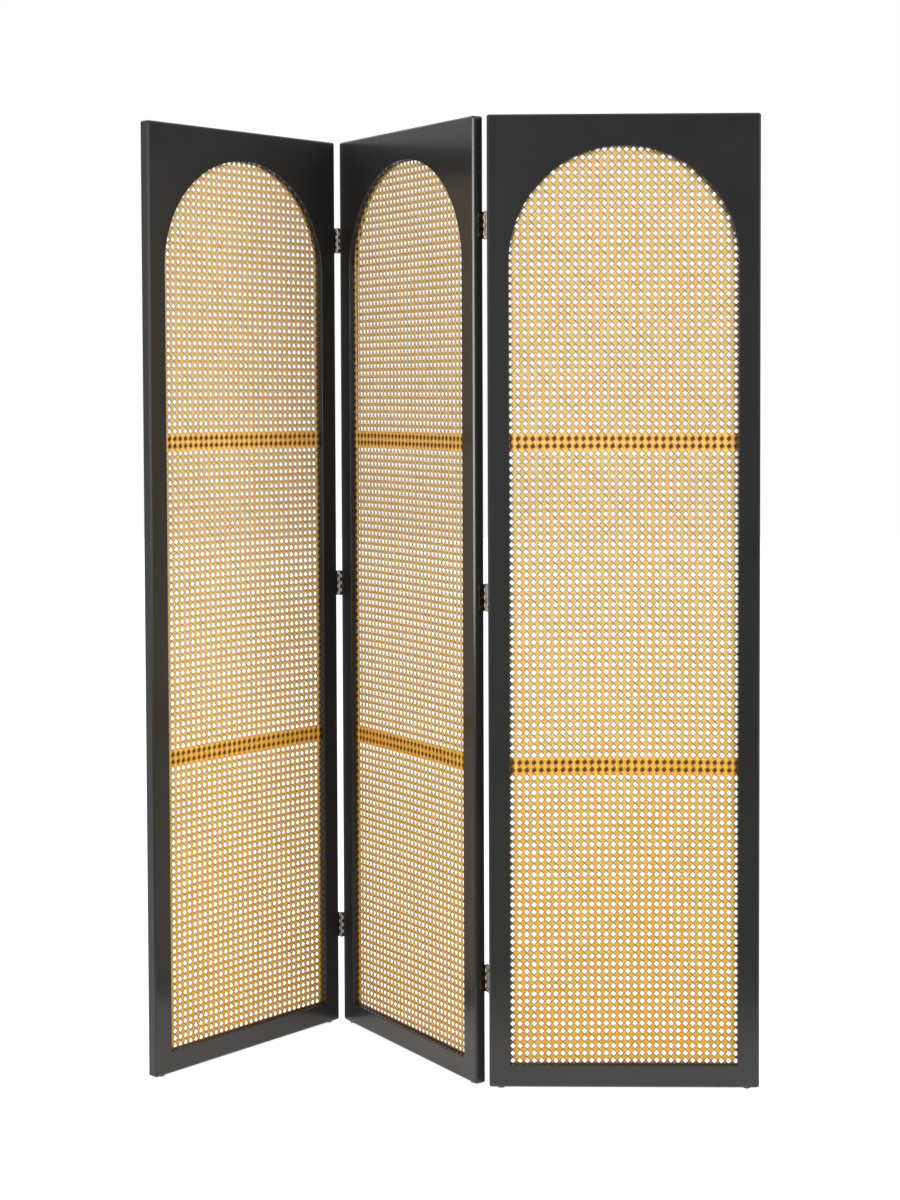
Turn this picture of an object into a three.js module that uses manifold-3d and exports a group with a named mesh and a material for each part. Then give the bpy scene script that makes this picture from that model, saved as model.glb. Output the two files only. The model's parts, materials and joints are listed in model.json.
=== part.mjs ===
// Folding room divider screen: three equal panels joined in a zigzag by butt hinges.
//
// Each panel is a wooden frame with a round-arched opening. A sheet of woven cane lies in a rabbet
// cut from the back of the frame, and beads around the rabbet and two crossbars hold it there.
// Units are millimetres, with +Z up. The screen stands on the plane z = 0, centred on x = y = 0.
//
// A panel is modelled in its own frame: x runs along its width from the centre line, y runs from
// its front face (y = 0) to its back face, and z is the height above the floor.

import * as THREE from 'three';
import { mergeVertices } from 'three/addons/utils/BufferGeometryUtils.js';
import Module from 'manifold-3d';

const wasm = await Module();
wasm.setup();

// Panel.
const panelWidth = 500;
const panelTop = 1800;
const panelThickness = 22;
const stileWidth = 40;
const bottomRailHeight = 44;    // top of the rail above the floor
const crownHeight = 58;         // wood above the top of the arch
const arrisRadius = 3;          // rounding of the frame's long edges
const frontLip = 9;             // wood in front of the cane
const rabbetWidth = 8;          // how far the rabbet reaches past the opening

// Cane, beads and crossbars.
const caneThickness = 2;
const caneTuck = 6;             // how far the cane reaches past the opening
const beadSetback = 1;          // beads and crossbars stop this far short of the back face
const beadChamfer = 2;
const crossbarHeight = 32;
const crossbarCentres = { lower: 600, upper: 1200 };
const crossbarRounding = 2;

// Glides under the stiles.
const glideHeight = 3;
const glideRadius = 7;
const glideTreadRadius = 5.5;
const glideInset = 22;          // from the panel's outer edge to the glide's centre

// Butt hinges: 50 mm high, three on each joint.
const hingeCentres = {
  left: { bottom: 200, middle: 905, top: 1602 },
  right: { bottom: 201, middle: 913, top: 1600 },
};
const hingeLength = 50.4;
const knuckleCount = 7;
const knuckleRadius = 2.9;
const boreRadius = 1.6;
const leafThickness = 1.5;
const leafWidth = 15;           // from the hinge line to the leaf's free edge
const pinRadius = 1.3;
const pinHeadRadius = 2.2;
const pinHeadHeight = 0.8;
const screwHoleRadius = 1.9;
const screwHoleNear = 8;        // hole's distance from the hinge line, middle hole
const screwHoleFar = 11;        // the same for the two end holes
const screwHoleSpacing = 17;
const barrelStandOff = 2.8;     // hinge line to the plane of the panel face beside it

// Folds, in degrees from all panels in one plane.
const leftFold = 107;
const rightFold = 56.5;

// Gap left between neighbouring pieces.
const gap = 0.3;

// Round stretches: three.js divides an arc into twice the curve segments it is given.
const archSegments = 24;
const arrisSegments = 2;
const holeSegments = 5;
const barrelSegments = 12;

// Worked-out places.
const halfWidth = panelWidth / 2;
const archRadius = halfWidth - stileWidth;
const springHeight = panelTop - crownHeight - archRadius;
const caneFront = frontLip + gap;
const caneBack = caneFront + caneThickness;
const beadFront = caneBack + gap;
const beadBack = panelThickness - beadSetback;
const rabbetFloor = bottomRailHeight - rabbetWidth;
const edgeToHingeLine = knuckleRadius + gap;
const beyond = 10;              // how far cutting solids run past what they cut

// The outline of the opening, grown outwards by a margin, drawn with x across and y as height.
function archOutline(margin, OutlineClass = THREE.Shape) {
  const outline = new OutlineClass();
  const radius = archRadius + margin;
  const sill = bottomRailHeight - margin;
  outline.moveTo(-radius, sill);
  outline.lineTo(radius, sill);
  outline.lineTo(radius, springHeight);
  outline.absarc(0, springHeight, radius, 0, Math.PI, false);
  outline.lineTo(-radius, sill);
  return outline;
}

// A flat outline made solid between two depths of the panel, with its edges rounded by `rounding`.
function board(outline, front, back, rounding = 0) {
  const geometry = new THREE.ExtrudeGeometry(outline, {
    depth: back - front - 2 * rounding,
    curveSegments: archSegments,
    bevelEnabled: rounding > 0,
    bevelThickness: rounding,
    bevelSize: rounding,
    bevelOffset: -rounding,
    bevelSegments: arrisSegments,
  });
  geometry.translate(0, 0, rounding - back);
  geometry.rotateX(Math.PI / 2);
  return geometry;
}

function box(low, high) {
  const size = high.map((value, i) => value - low[i]);
  const geometry = new THREE.BoxGeometry(...size);
  geometry.translate(...low.map((value, i) => value + size[i] / 2));
  return geometry;
}

// A closed mesh as a solid that can be joined and cut, and back again.
function solid(geometry) {
  const bare = geometry.clone();
  bare.deleteAttribute('normal');
  bare.deleteAttribute('uv');
  const merged = mergeVertices(bare);
  return new wasm.Manifold(new wasm.Mesh({
    numProp: 3,
    vertProperties: new Float32Array(merged.attributes.position.array),
    triVerts: new Uint32Array(merged.index.array),
  }));
}

function geometryOf(manifold) {
  const mesh = manifold.getMesh();
  const geometry = new THREE.BufferGeometry();
  geometry.setAttribute('position', new THREE.BufferAttribute(mesh.vertProperties, 3));
  geometry.setIndex(new THREE.BufferAttribute(mesh.triVerts, 1));
  geometry.computeVertexNormals();
  return geometry;
}

// Two stiles, an arched head and a bottom rail, cut from one rounded board so that they meet flush.
function frameGeometries() {
  const outline = new THREE.Shape();
  outline.moveTo(-halfWidth, glideHeight);
  outline.lineTo(halfWidth, glideHeight);
  outline.lineTo(halfWidth, panelTop);
  outline.lineTo(-halfWidth, panelTop);
  outline.closePath();
  outline.holes.push(archOutline(0, THREE.Path));
  const rabbet = solid(board(archOutline(rabbetWidth), frontLip, panelThickness + beyond));
  const frame = solid(board(outline, 0, panelThickness, arrisRadius)).subtract(rabbet);

  const seam = gap / 2;
  const outside = halfWidth + beyond;
  const behind = panelThickness + beyond;
  const piece = (lowX, highX, lowZ, highZ) => {
    const zone = solid(box([lowX, -beyond, lowZ], [highX, behind, highZ]));
    return geometryOf(frame.intersect(zone));
  };
  return {
    left_stile: piece(-outside, -archRadius - seam, -beyond, springHeight - seam),
    right_stile: piece(archRadius + seam, outside, -beyond, springHeight - seam),
    arch_head: piece(-outside, outside, springHeight + seam, panelTop + beyond),
    bottom_rail: piece(-archRadius + seam, archRadius - seam, -beyond, bottomRailHeight + beyond),
  };
}

// Section of a bead as points (distance past the opening's edge, depth): its back inner edge is
// chamfered.
function beadSection() {
  return [
    [0, beadFront],
    [rabbetWidth - gap, beadFront],
    [rabbetWidth - gap, beadBack],
    [beadChamfer, beadBack],
    [0, beadBack - beadChamfer],
  ];
}

// A section given as points (across, depth) made into a straight bar that runs up from z = 0.
function uprightBar(section, length) {
  const outline = new THREE.Shape(section.map(([across, depth]) => new THREE.Vector2(across, depth)));
  return new THREE.ExtrudeGeometry(outline, { depth: length, bevelEnabled: false });
}

function beadGeometries() {
  const sideLength = springHeight - gap / 2 - rabbetFloor - gap;
  const right = uprightBar(beadSection(), sideLength);
  right.translate(archRadius, 0, rabbetFloor + gap);
  const mirrored = beadSection().map(([across, depth]) => [-across, depth]);
  const left = uprightBar(mirrored, sideLength);
  left.translate(-archRadius, 0, rabbetFloor + gap);

  const bottomLength = 2 * (archRadius - gap);
  const bottom = uprightBar(beadSection(), bottomLength);
  bottom.rotateY(Math.PI / 2);
  bottom.translate(-bottomLength / 2, 0, bottomRailHeight);

  const ringSection = beadSection().map(([across, depth]) => new THREE.Vector2(archRadius + across, depth));
  ringSection.push(ringSection[0].clone());
  const ring = new THREE.LatheGeometry(ringSection, 4 * archSegments);
  const reach = archRadius + rabbetWidth;
  const upperHalf = box([-reach, 0, gap / 2], [reach, panelThickness, reach]);
  const arch = geometryOf(solid(ring).intersect(solid(upperHalf)));
  arch.translate(0, 0, springHeight);
  return { left_bead: left, right_bead: right, bottom_bead: bottom, arch_bead: arch };
}

// A bar behind the cane, from side bead to side bead, with rounded edges on its back.
function crossbarGeometry(centreHeight) {
  const halfHeight = crossbarHeight / 2;
  const rounding = crossbarRounding;
  const outline = new THREE.Shape();
  outline.moveTo(-halfHeight, beadFront);
  outline.lineTo(halfHeight, beadFront);
  outline.lineTo(halfHeight, beadBack - rounding);
  outline.absarc(halfHeight - rounding, beadBack - rounding, rounding, 0, Math.PI / 2, false);
  outline.absarc(rounding - halfHeight, beadBack - rounding, rounding, Math.PI / 2, Math.PI, false);
  outline.closePath();
  const length = 2 * (archRadius - gap);
  const geometry = new THREE.ExtrudeGeometry(outline, { depth: length, bevelEnabled: false, curveSegments: 3 });
  geometry.rotateY(Math.PI / 2);
  geometry.translate(-length / 2, 0, centreHeight);
  return geometry;
}

// A round nail-on glide with a flat tread and a chamfered rim.
function glideGeometry() {
  const rim = glideRadius - glideTreadRadius;
  const top = glideHeight - gap;
  const profile = [[0, 0], [glideTreadRadius, 0], [glideRadius, rim], [glideRadius, top], [0, top]];
  const points = profile.map(([radius, height]) => new THREE.Vector2(radius, height));
  const geometry = new THREE.LatheGeometry(points, 16);
  geometry.rotateX(Math.PI / 2);
  geometry.translate(0, panelThickness / 2, 0);
  return geometry;
}

// Height at which a knuckle starts, counted from the hinge's centre.
function knuckleStart(index) {
  return -hingeLength / 2 + index * hingeLength / knuckleCount;
}

// One hinge leaf, with the hinge line as its z axis. The panel's edge face is the plane
// x = edgeToHingeLine, with the wood beyond it, and the leaf lies on it with its free edge at
// y = leafWidth. It carries every second knuckle, starting with the first (0) or the second (1).
function leafGeometry(firstKnuckle) {
  const inner = knuckleRadius - leafThickness;
  const plateStart = knuckleRadius + gap;
  const lowEnd = knuckleStart(0) + gap / 2;
  const outline = new THREE.Shape();
  outline.moveTo(plateStart, lowEnd);
  outline.lineTo(leafWidth, lowEnd);
  outline.lineTo(leafWidth, -lowEnd);
  outline.lineTo(plateStart, -lowEnd);
  outline.closePath();
  for (const [across, height] of screwHoleCentres()) {
    const hole = new THREE.Path();
    hole.absarc(across, height, screwHoleRadius, 0, 2 * Math.PI, false);
    outline.holes.push(hole);
  }
  const plate = new THREE.ExtrudeGeometry(outline, {
    depth: leafThickness,
    bevelEnabled: false,
    curveSegments: holeSegments,
  });
  const upright = new THREE.Matrix4().makeBasis(
    new THREE.Vector3(0, 1, 0),
    new THREE.Vector3(0, 0, 1),
    new THREE.Vector3(1, 0, 0),
  );
  plate.applyMatrix4(upright);
  plate.translate(inner, 0, 0);

  let leaf = solid(plate);
  const knuckleLength = hingeLength / knuckleCount - gap;
  for (let i = firstKnuckle; i < knuckleCount; i += 2) {
    const start = knuckleStart(i) + gap / 2;
    const end = start + knuckleLength;
    const web = box([inner, 0, start], [knuckleRadius, plateStart + leafThickness, end]);
    const barrel = new THREE.CylinderGeometry(knuckleRadius, knuckleRadius, knuckleLength, barrelSegments);
    barrel.rotateX(Math.PI / 2);
    barrel.translate(0, 0, (start + end) / 2);
    leaf = leaf.add(solid(web)).add(solid(barrel));
  }
  const bore = new THREE.CylinderGeometry(boreRadius, boreRadius, hingeLength + beyond, barrelSegments);
  bore.rotateX(Math.PI / 2);
  return geometryOf(leaf.subtract(solid(bore)));
}

// Screw holes as (distance from the hinge line, height from the hinge's centre).
function screwHoleCentres() {
  return [-1, 0, 1].map((step) => [step === 0 ? screwHoleNear : screwHoleFar, step * screwHoleSpacing]);
}

// The pin through the knuckles, with a flat head at each end that keeps it in.
function pinGeometry() {
  const headBase = hingeLength / 2 + gap;
  const headEnd = headBase + pinHeadHeight;
  const profile = [
    [0, -headEnd],
    [pinHeadRadius, -headEnd],
    [pinHeadRadius, -headBase],
    [pinRadius, -headBase],
    [pinRadius, headBase],
    [pinHeadRadius, headBase],
    [pinHeadRadius, headEnd],
    [0, headEnd],
  ];
  const points = profile.map(([radius, height]) => new THREE.Vector2(radius, height));
  const geometry = new THREE.LatheGeometry(points, barrelSegments);
  geometry.rotateX(Math.PI / 2);
  return geometry;
}

// Each mesh has a material of its own.
function mesh(name, geometry, color, roughness, metalness) {
  const made = new THREE.Mesh(geometry, new THREE.MeshStandardMaterial({ color, roughness, metalness }));
  made.name = name;
  return made;
}

const frameLook = [0x262626, 0.5, 0];
const caneLook = [0xe0b478, 0.6, 0];
const hingeLook = [0xa89a86, 0.35, 1];
const glideLook = [0x5a4632, 0.5, 0];

// All the pieces of one panel, in the panel's own frame.
function panel(side) {
  const group = new THREE.Group();
  const add = (part, geometry, look) => {
    const made = mesh(`${side}_panel_${part}`, geometry, ...look);
    group.add(made);
    return made;
  };
  for (const [part, geometry] of Object.entries(frameGeometries())) {
    add(part, geometry, frameLook);
  }
  add('cane', board(archOutline(caneTuck), caneFront, caneBack), caneLook);
  for (const [part, geometry] of Object.entries(beadGeometries())) {
    add(part, geometry, frameLook);
  }
  for (const [place, height] of Object.entries(crossbarCentres)) {
    add(`${place}_crossbar`, crossbarGeometry(height), frameLook);
  }
  for (const [place, direction] of [['left', -1], ['right', 1]]) {
    add(`${place}_glide`, glideGeometry(), glideLook).position.x = direction * (halfWidth - glideInset);
  }
  return group;
}

// Hangs one panel on the middle panel. `direction` is -1 for the panel on the left and 1 for the
// one on the right. The left hinge line stands in front of the panels and the right one behind
// them, so the panels fold up like a fan. `fold` is the turn from the flat position, in degrees.
function hangPanel(middle, hung, side, direction, fold) {
  const inFront = direction < 0;
  const lineX = halfWidth + edgeToHingeLine;
  const lineY = inFront ? -barrelStandOff : panelThickness + barrelStandOff;

  // The group whose z axis is the hinge line, turned from the middle panel by the fold.
  const hingeLine = new THREE.Group();
  hingeLine.position.set(direction * lineX, lineY, 0);
  hingeLine.rotation.z = THREE.MathUtils.degToRad(fold);
  hung.position.set(direction * lineX, -lineY, 0);
  hingeLine.add(hung);
  middle.add(hingeLine);

  // A leaf is made for wood on the right of a front hinge line; half turns give the other three.
  const onRight = new THREE.Euler(inFront ? 0 : Math.PI, 0, 0);
  const onLeft = new THREE.Euler(0, inFront ? Math.PI : 0, inFront ? 0 : Math.PI);
  for (const [place, height] of Object.entries(hingeCentres[side])) {
    const name = `${side}_joint_${place}_hinge`;
    const fixedLeaf = mesh(`${name}_fixed_leaf`, leafGeometry(0), ...hingeLook);
    fixedLeaf.rotation.copy(inFront ? onRight : onLeft);
    fixedLeaf.position.set(direction * lineX, lineY, height);
    middle.add(fixedLeaf);
    const pin = mesh(`${name}_pin`, pinGeometry(), ...hingeLook);
    pin.position.set(direction * lineX, lineY, height);
    middle.add(pin);
    const swingLeaf = mesh(`${name}_swing_leaf`, leafGeometry(1), ...hingeLook);
    swingLeaf.rotation.copy(inFront ? onLeft : onRight);
    swingLeaf.position.z = height;
    hingeLine.add(swingLeaf);
  }
}

const screen = new THREE.Group();
const middlePanel = panel('middle');
middlePanel.rotation.z = THREE.MathUtils.degToRad(-rightFold);
screen.add(middlePanel);
hangPanel(middlePanel, panel('left'), 'left', -1, leftFold);
hangPanel(middlePanel, panel('right'), 'right', 1, rightFold);

// The right panel faces -y squarely. The origin is under the middle of the standing screen.
screen.updateMatrixWorld(true);
const centre = new THREE.Box3().setFromObject(screen, true).getCenter(new THREE.Vector3());
screen.position.set(-centre.x, -centre.y, 0);

export default screen;
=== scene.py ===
# Folding room divider screen: the visible surfaces of three cane panels and their hinges, built
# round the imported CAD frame. Metres, +Z up. A panel is made in its own frame, as in the CAD:
# x runs along its width from the centre line, y from its front face (0) to its back face, and z
# is the height above the floor.

import json
import math

import bmesh
import bpy
import numpy as np
from mathutils import Euler, Matrix, Vector
from mathutils.geometry import tessellate_polygon


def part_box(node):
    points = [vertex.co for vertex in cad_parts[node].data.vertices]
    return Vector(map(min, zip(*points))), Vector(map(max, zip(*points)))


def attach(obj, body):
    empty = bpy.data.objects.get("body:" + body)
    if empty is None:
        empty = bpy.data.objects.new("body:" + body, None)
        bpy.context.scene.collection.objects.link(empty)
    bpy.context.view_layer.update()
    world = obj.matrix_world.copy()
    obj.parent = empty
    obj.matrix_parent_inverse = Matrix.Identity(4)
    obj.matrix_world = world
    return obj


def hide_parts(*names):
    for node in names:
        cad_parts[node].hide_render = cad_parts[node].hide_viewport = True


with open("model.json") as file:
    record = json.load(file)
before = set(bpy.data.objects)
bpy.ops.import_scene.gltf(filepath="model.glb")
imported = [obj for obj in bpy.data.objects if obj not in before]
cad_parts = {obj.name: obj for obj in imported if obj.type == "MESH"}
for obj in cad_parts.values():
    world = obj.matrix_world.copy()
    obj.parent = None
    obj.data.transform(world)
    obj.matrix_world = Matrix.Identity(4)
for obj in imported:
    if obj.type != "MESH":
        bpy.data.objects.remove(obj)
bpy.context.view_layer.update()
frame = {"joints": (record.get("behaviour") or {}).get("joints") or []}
joints = {joint["name"]: joint for joint in frame["joints"]}
random = np.random.default_rng(7)

MM = 0.001
SEAM = 0.15 * MM            # half of the gap that the CAD leaves between neighbouring pieces
HAIRLINE = 0.02 * MM        # what the visible boards keep of it

# Sizes of a panel, from the right panel, which stands square to the axes.
head_low, head_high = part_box("right_panel_arch_head")
stile_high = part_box("right_panel_left_stile")[1]
rail_low, rail_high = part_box("right_panel_bottom_rail")
cane_low, cane_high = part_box("right_panel_cane")
bead_low, bead_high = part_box("right_panel_left_bead")
glide_low, glide_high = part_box("right_panel_left_glide")
leaf_low, leaf_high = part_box("right_joint_top_hinge_swing_leaf")
pin_low, pin_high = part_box("right_joint_top_hinge_pin")

CENTRE_X = (head_low.x + head_high.x) / 2
FRONT_Y = head_low.y
HALF_WIDTH = head_high.x - CENTRE_X
THICKNESS = head_high.y - FRONT_Y
PANEL_TOP = head_high.z
PANEL_FOOT = rail_low.z
SILL = rail_high.z
SPRING = stile_high.z + SEAM
ARCH_RADIUS = CENTRE_X - stile_high.x - SEAM
CANE_DEPTH = (cane_low.y + cane_high.y) / 2 - FRONT_Y
CANE_TUCK = cane_high.x - CENTRE_X - ARCH_RADIUS
FRONT_LIP = cane_low.y - FRONT_Y - 2 * SEAM
BEAD_FRONT = bead_low.y - FRONT_Y
BEAD_BACK = bead_high.y - FRONT_Y
BEAD_WIDTH = CENTRE_X - bead_low.x - ARCH_RADIUS
RABBET = BEAD_WIDTH + 2 * SEAM
bars = [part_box(f"right_panel_{level}_crossbar") for level in ("lower", "upper")]
BAR_HEIGHTS = [(low.z + high.z) / 2 for low, high in bars]
BAR_HALF = (bars[0][1].z - bars[0][0].z) / 2
BAR_REACH = (bars[0][1].x - bars[0][0].x) / 2

# Roundings of the wood.
CHAMFER = 3.0 * MM          # along the panel's front edges
CHAMFER_EASE = 0.8 * MM     # radius of the chamfer's own two edges
BACK_ARRIS = 3 * MM
OPENING_ARRIS = 1.2 * MM
ARRIS_STEPS = 8
CORNER = 4.4 * MM           # of the panel's outline
CORNER_STEPS = 6
RABBET_ARRIS = 0.8 * MM
ARCH_STEPS = 128
BEAD_ARRIS = 3 * MM
SMALL_ARRIS = 0.5 * MM      # on beads and bars, where no other rounding is given
BAR_ARRIS = 3 * MM
DOME_STEPS = 6              # on glides and pins
ROUND_STEPS = 48            # round glides and screws
PIN_STEPS = 32

# Hinge.
KNUCKLE_RADIUS = (leaf_high.x - leaf_low.x) / 2
LEAF_WIDTH = leaf_high.y - leaf_low.y - KNUCKLE_RADIUS
LEAF_HALF = (leaf_high.z - leaf_low.z) / 2
LEAF_THICKNESS = 1.5 * MM
LEAF_CORNER = 1.5 * MM
LEAF_BEVEL = 0.15 * MM
SCREW_BEVEL = 0.04 * MM
KNUCKLES = 7
KNUCKLE_GAP = 0.2 * MM
CURL_TURN = math.radians(294)
CURL_STEPS = 26
HOLE_RADIUS = 1.9 * MM
SINK_RADIUS = 3.1 * MM
SINK_DEPTH = 0.75 * LEAF_THICKNESS
HOLE_STEPS = 32
SCREW_ROWS = ((11 * MM, -17 * MM), (8 * MM, 0), (11 * MM, 17 * MM))    # out from the pin, and up
PIN_RADIUS = 1.3 * MM
PIN_HEAD_RADIUS = (pin_high.x - pin_low.x) / 2
PIN_HALF = (pin_high.z - pin_low.z) / 2
PIN_HEAD_HEIGHT = 0.8 * MM

# Cane weave: upright pairs, level pairs, and one strand in each diagonal between them.
PITCH_X = 13.35 * MM
PITCH_Z = 13.93 * MM
ROW_PHASE = 1.3 * MM        # height of a level pair above a whole number of pitches
PAIR_OFFSET = 1.18 * MM     # from a pair's middle to each of its strands
PLAIN_WIDTH = 2.15 * MM     # uprights and rows
DIAGONAL_WIDTH = 2.6 * MM
STRAND_HALF_THICK = 0.3 * MM
PLAIN_RISE = 0.33 * MM      # how far uprights and rows rise to cross each other
DIAGONAL_RISE = 0.62 * MM
PLAIN_HOLD = 1.5 * MM       # how far their crest runs on either side of a crossing
END_MARGIN = 0.3 * MM       # least distance from a strand's end to its next station
WIDTH_SPREAD = 0.05         # random differences between strands: share of the width,
PLACE_SPREAD = 0.07 * MM    # shift sideways,
WANDER = 0.10 * MM          # and slow wander to and fro along the strand
FRAME_SHADOW_REACH = 9 * MM         # reach of the painted shadow that the frame's lip casts on the cane
CANE_REACH = ARCH_RADIUS + CANE_TUCK
CANE_FOOT = SILL - CANE_TUCK
CANE_TOP = SPRING + ARCH_RADIUS + CANE_TUCK

# Black paint, and the crossbars' brown, which is painted light standing in for the amber light the cane
# throws on them; each from dark to light.
BLACK = ((0.0165, 0.0160, 0.0160), (0.0215, 0.0208, 0.0205))
BROWN = ((0.130, 0.052, 0.007), (0.200, 0.086, 0.015))
DUST = (0.07, 0.068, 0.065)

# Cane, each from the darkest strand to the palest, and the painted shadow colour of the strands' rims.
PLAIN_CANE = ((0.90, 0.53, 0.23), (0.90, 0.62, 0.24), (0.96, 0.74, 0.36))
PLAIN_RIM_SHADOW = (0.45, 0.25, 0.08)
# Painted shade: the diagonals are darker copies of the same cane, the falling ones darkest, for the
# shade they lie in.
RISING_CANE_SHADED = ((0.55, 0.37, 0.12), (0.66, 0.455, 0.15), (0.78, 0.56, 0.20))
RISING_RIM_SHADOW = (0.22, 0.12, 0.04)
FALLING_CANE_SHADED = ((0.36, 0.23, 0.07), (0.47, 0.305, 0.095), (0.60, 0.40, 0.13))
FALLING_RIM_SHADOW = (0.16, 0.085, 0.03)
FIBRE_BROWN = (0.50, 0.26, 0.075)
MARK_BROWN = (0.42, 0.20, 0.055)

# Tints of the whole sheet, painted light and shade: painted shade by height in metres, darker and more
# amber towards the bottom; painted shadow of the frame's lip, by clearance from the frame; and in front
# of the bars, where the tint makes up for part of the light that they keep off.
PAINTED_HEIGHT_SHADE = (
    (0.0, (0.74, 0.57, 0.10)),
    (0.35, (0.91, 0.80, 0.31)),
    (0.8, (1.0, 0.98, 0.77)),
    (1.0, (1.0, 1.0, 0.92)),
)
FRAME_SHADOW_TINT = ((0.0, (0.20, 0.15, 0.11)), (0.4, (0.55, 0.47, 0.38)), (0.95, 1.0))
BAND_TINT = (1.29, 1.13, 0.80)
BAND_SPILL = 1.5 * MM       # how far the band reaches past the bar

# Metals, clean and tarnished, and nylon, plain and scuffed.
NICKEL = ((0.42, 0.37, 0.30), (0.17, 0.125, 0.085))
BRONZE = ((0.20, 0.165, 0.13), (0.10, 0.075, 0.055))
# Painted reflection of the dark surroundings on the leaves' plates; the barrel and free edge are left
# bright as painted highlight.
LEAF_PAINTED_SHADE = (0.085, 0.066, 0.05)
SHADE_EDGE_SPREAD = 0.75 * MM     # how ragged the edge of the painted shade is
NYLON = ((0.075, 0.045, 0.026), (0.13, 0.085, 0.055))

# Brightness of the room on the camera's side, behind the object and overhead, and of the floor.
WINDOW_SIDE = (-0.5, 0.87, 0.0)
ROOM_FRONT = 0.05
ROOM_BACK = 0.9
ROOM_TOP = 0.75
FLOOR_GLOW = 0.57
FLOOR_WHITE = 0.8           # how bright the paper beside the object looks before light falls on it
FLOOR_HALF = 15.0           # half of its side

# Camera: place, then azimuth, pitch and roll in degrees.
CAMERA_PLACE = (0.0894576, -4.1563713, 1.2909782)
CAMERA_TURN = (-1.2623, -2.2392, -0.2128)
CAMERA_LENS = 64.286
CAMERA_SHIFT = -0.1023


# ---------------------------------------------------------------- places

def turn_about(point, degrees):
    """A turn about the upright line through a point."""
    there = Matrix.Translation(point)
    return there @ Matrix.Rotation(math.radians(degrees), 4, "Z") @ there.inverted()


right_line = Vector(joints["right_fold"]["pos_m"])
left_line = Vector(joints["left_fold"]["pos_m"])
next_panel = Matrix.Translation((-2 * (CENTRE_X - right_line.x), 0, 0))
right_place = Matrix.Translation((CENTRE_X, FRONT_Y, 0))
middle_place = turn_about(right_line, joints["right_fold"]["range_deg"][0]) @ right_place @ next_panel
left_place = turn_about(left_line, -joints["left_fold"]["range_deg"][0]) @ middle_place @ next_panel
PLACES = {"left": left_place, "middle": middle_place, "right": right_place}


# ---------------------------------------------------------------- mesh helpers

def add_piece(name, mesh, place, body, replaced=None):
    """A new object at a place, riding on a body, which may replace a CAD node."""
    piece = bpy.data.objects.new(name, mesh)
    bpy.context.scene.collection.objects.link(piece)
    piece.matrix_world = place
    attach(piece, body)
    if replaced:
        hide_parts(replaced)
    return piece


def to_mesh(bm, name, material, sharp_degrees=40):
    """The bmesh as a smooth-shaded mesh, with edges sharper than an angle kept crisp."""
    bmesh.ops.recalc_face_normals(bm, faces=bm.faces)
    mesh = bpy.data.meshes.new(name)
    bm.to_mesh(mesh)
    bm.free()
    mesh.shade_smooth()
    mesh.set_sharp_from_angle(angle=math.radians(sharp_degrees))
    mesh.materials.append(material)
    return mesh


def flatten_normals(piece):
    """Lets the large flat faces of a piece set the normals of their edges."""
    weighted = piece.modifiers.new("weighted_normals", "WEIGHTED_NORMAL")
    weighted.keep_sharp = True


def bevel_edges(piece, width):
    """Takes the sharpness off the edges of a piece."""
    edge = piece.modifiers.new("edge", "BEVEL")
    edge.width = width
    edge.segments = 2
    edge.limit_method = "ANGLE"
    edge.angle_limit = math.radians(50)


def join_rings(bm, first, second):
    """A closed band of faces between two rings of vertices."""
    count = len(first)
    for i in range(count):
        j = (i + 1) % count
        bm.faces.new((first[i], first[j], second[j], second[i]))


def fill(bm, *loops):
    """A flat face inside the first loop of vertices, with the other loops as holes."""
    verts = [vert for loop in loops for vert in loop]
    for triangle in tessellate_polygon([[vert.co for vert in loop] for loop in loops]):
        bm.faces.new([verts[i] for i in triangle])


def quarter_turn(steps):
    """Angles from 0 to a right angle."""
    return [step / steps * math.pi / 2 for step in range(steps + 1)]


def circle(radius, steps):
    angles = (2 * math.pi * step / steps for step in range(steps))
    return [(radius * math.cos(angle), radius * math.sin(angle)) for angle in angles]


def rounded(corners):
    """Outline from (across, depth, radius) corners, square ones, each rounded to its radius."""
    points = []
    for i, (x, y, radius) in enumerate(corners):
        here = Vector((x, y))
        before = (Vector(corners[i - 1][:2]) - here).normalized()
        after = (Vector(corners[(i + 1) % len(corners)][:2]) - here).normalized()
        middle = here + (before + after) * radius
        for angle in quarter_turn(CORNER_STEPS):
            points.append(middle - radius * (after * math.cos(angle) + before * math.sin(angle)))
    return points


def sweep(section, stations):
    """A bar with flat ends. A station is the section's origin and outward direction, as (x, z)."""
    bm = bmesh.new()
    rings = []
    for origin, outward in stations:
        ring = []
        for across, depth in section:
            place = Vector(origin) + across * Vector(outward)
            ring.append(bm.verts.new((place.x, depth, place.y)))
        rings.append(ring)
    for first, second in zip(rings, rings[1:]):
        join_rings(bm, first, second)
    bm.faces.new(rings[0])
    bm.faces.new(rings[-1])
    return bm


def lathe(profile, steps):
    """A closed turned body from (radius, height) points that start and end on the axis."""
    bm = bmesh.new()
    bottom = bm.verts.new((0, 0, profile[0][1]))
    top = bm.verts.new((0, 0, profile[-1][1]))
    rings = []
    for radius, height in profile[1:-1]:
        rings.append([bm.verts.new((x, y, height)) for x, y in circle(radius, steps)])
    for first, second in zip(rings, rings[1:]):
        join_rings(bm, first, second)
    for i in range(steps):
        j = (i + 1) % steps
        bm.faces.new((bottom, rings[0][i], rings[0][j]))
        bm.faces.new((top, rings[-1][i], rings[-1][j]))
    return bm


# ---------------------------------------------------------------- material helpers

def new_material(name):
    material = bpy.data.materials.new(name)
    material.use_nodes = True
    tree = material.node_tree
    return material, tree, tree.nodes["Principled BSDF"]


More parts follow.
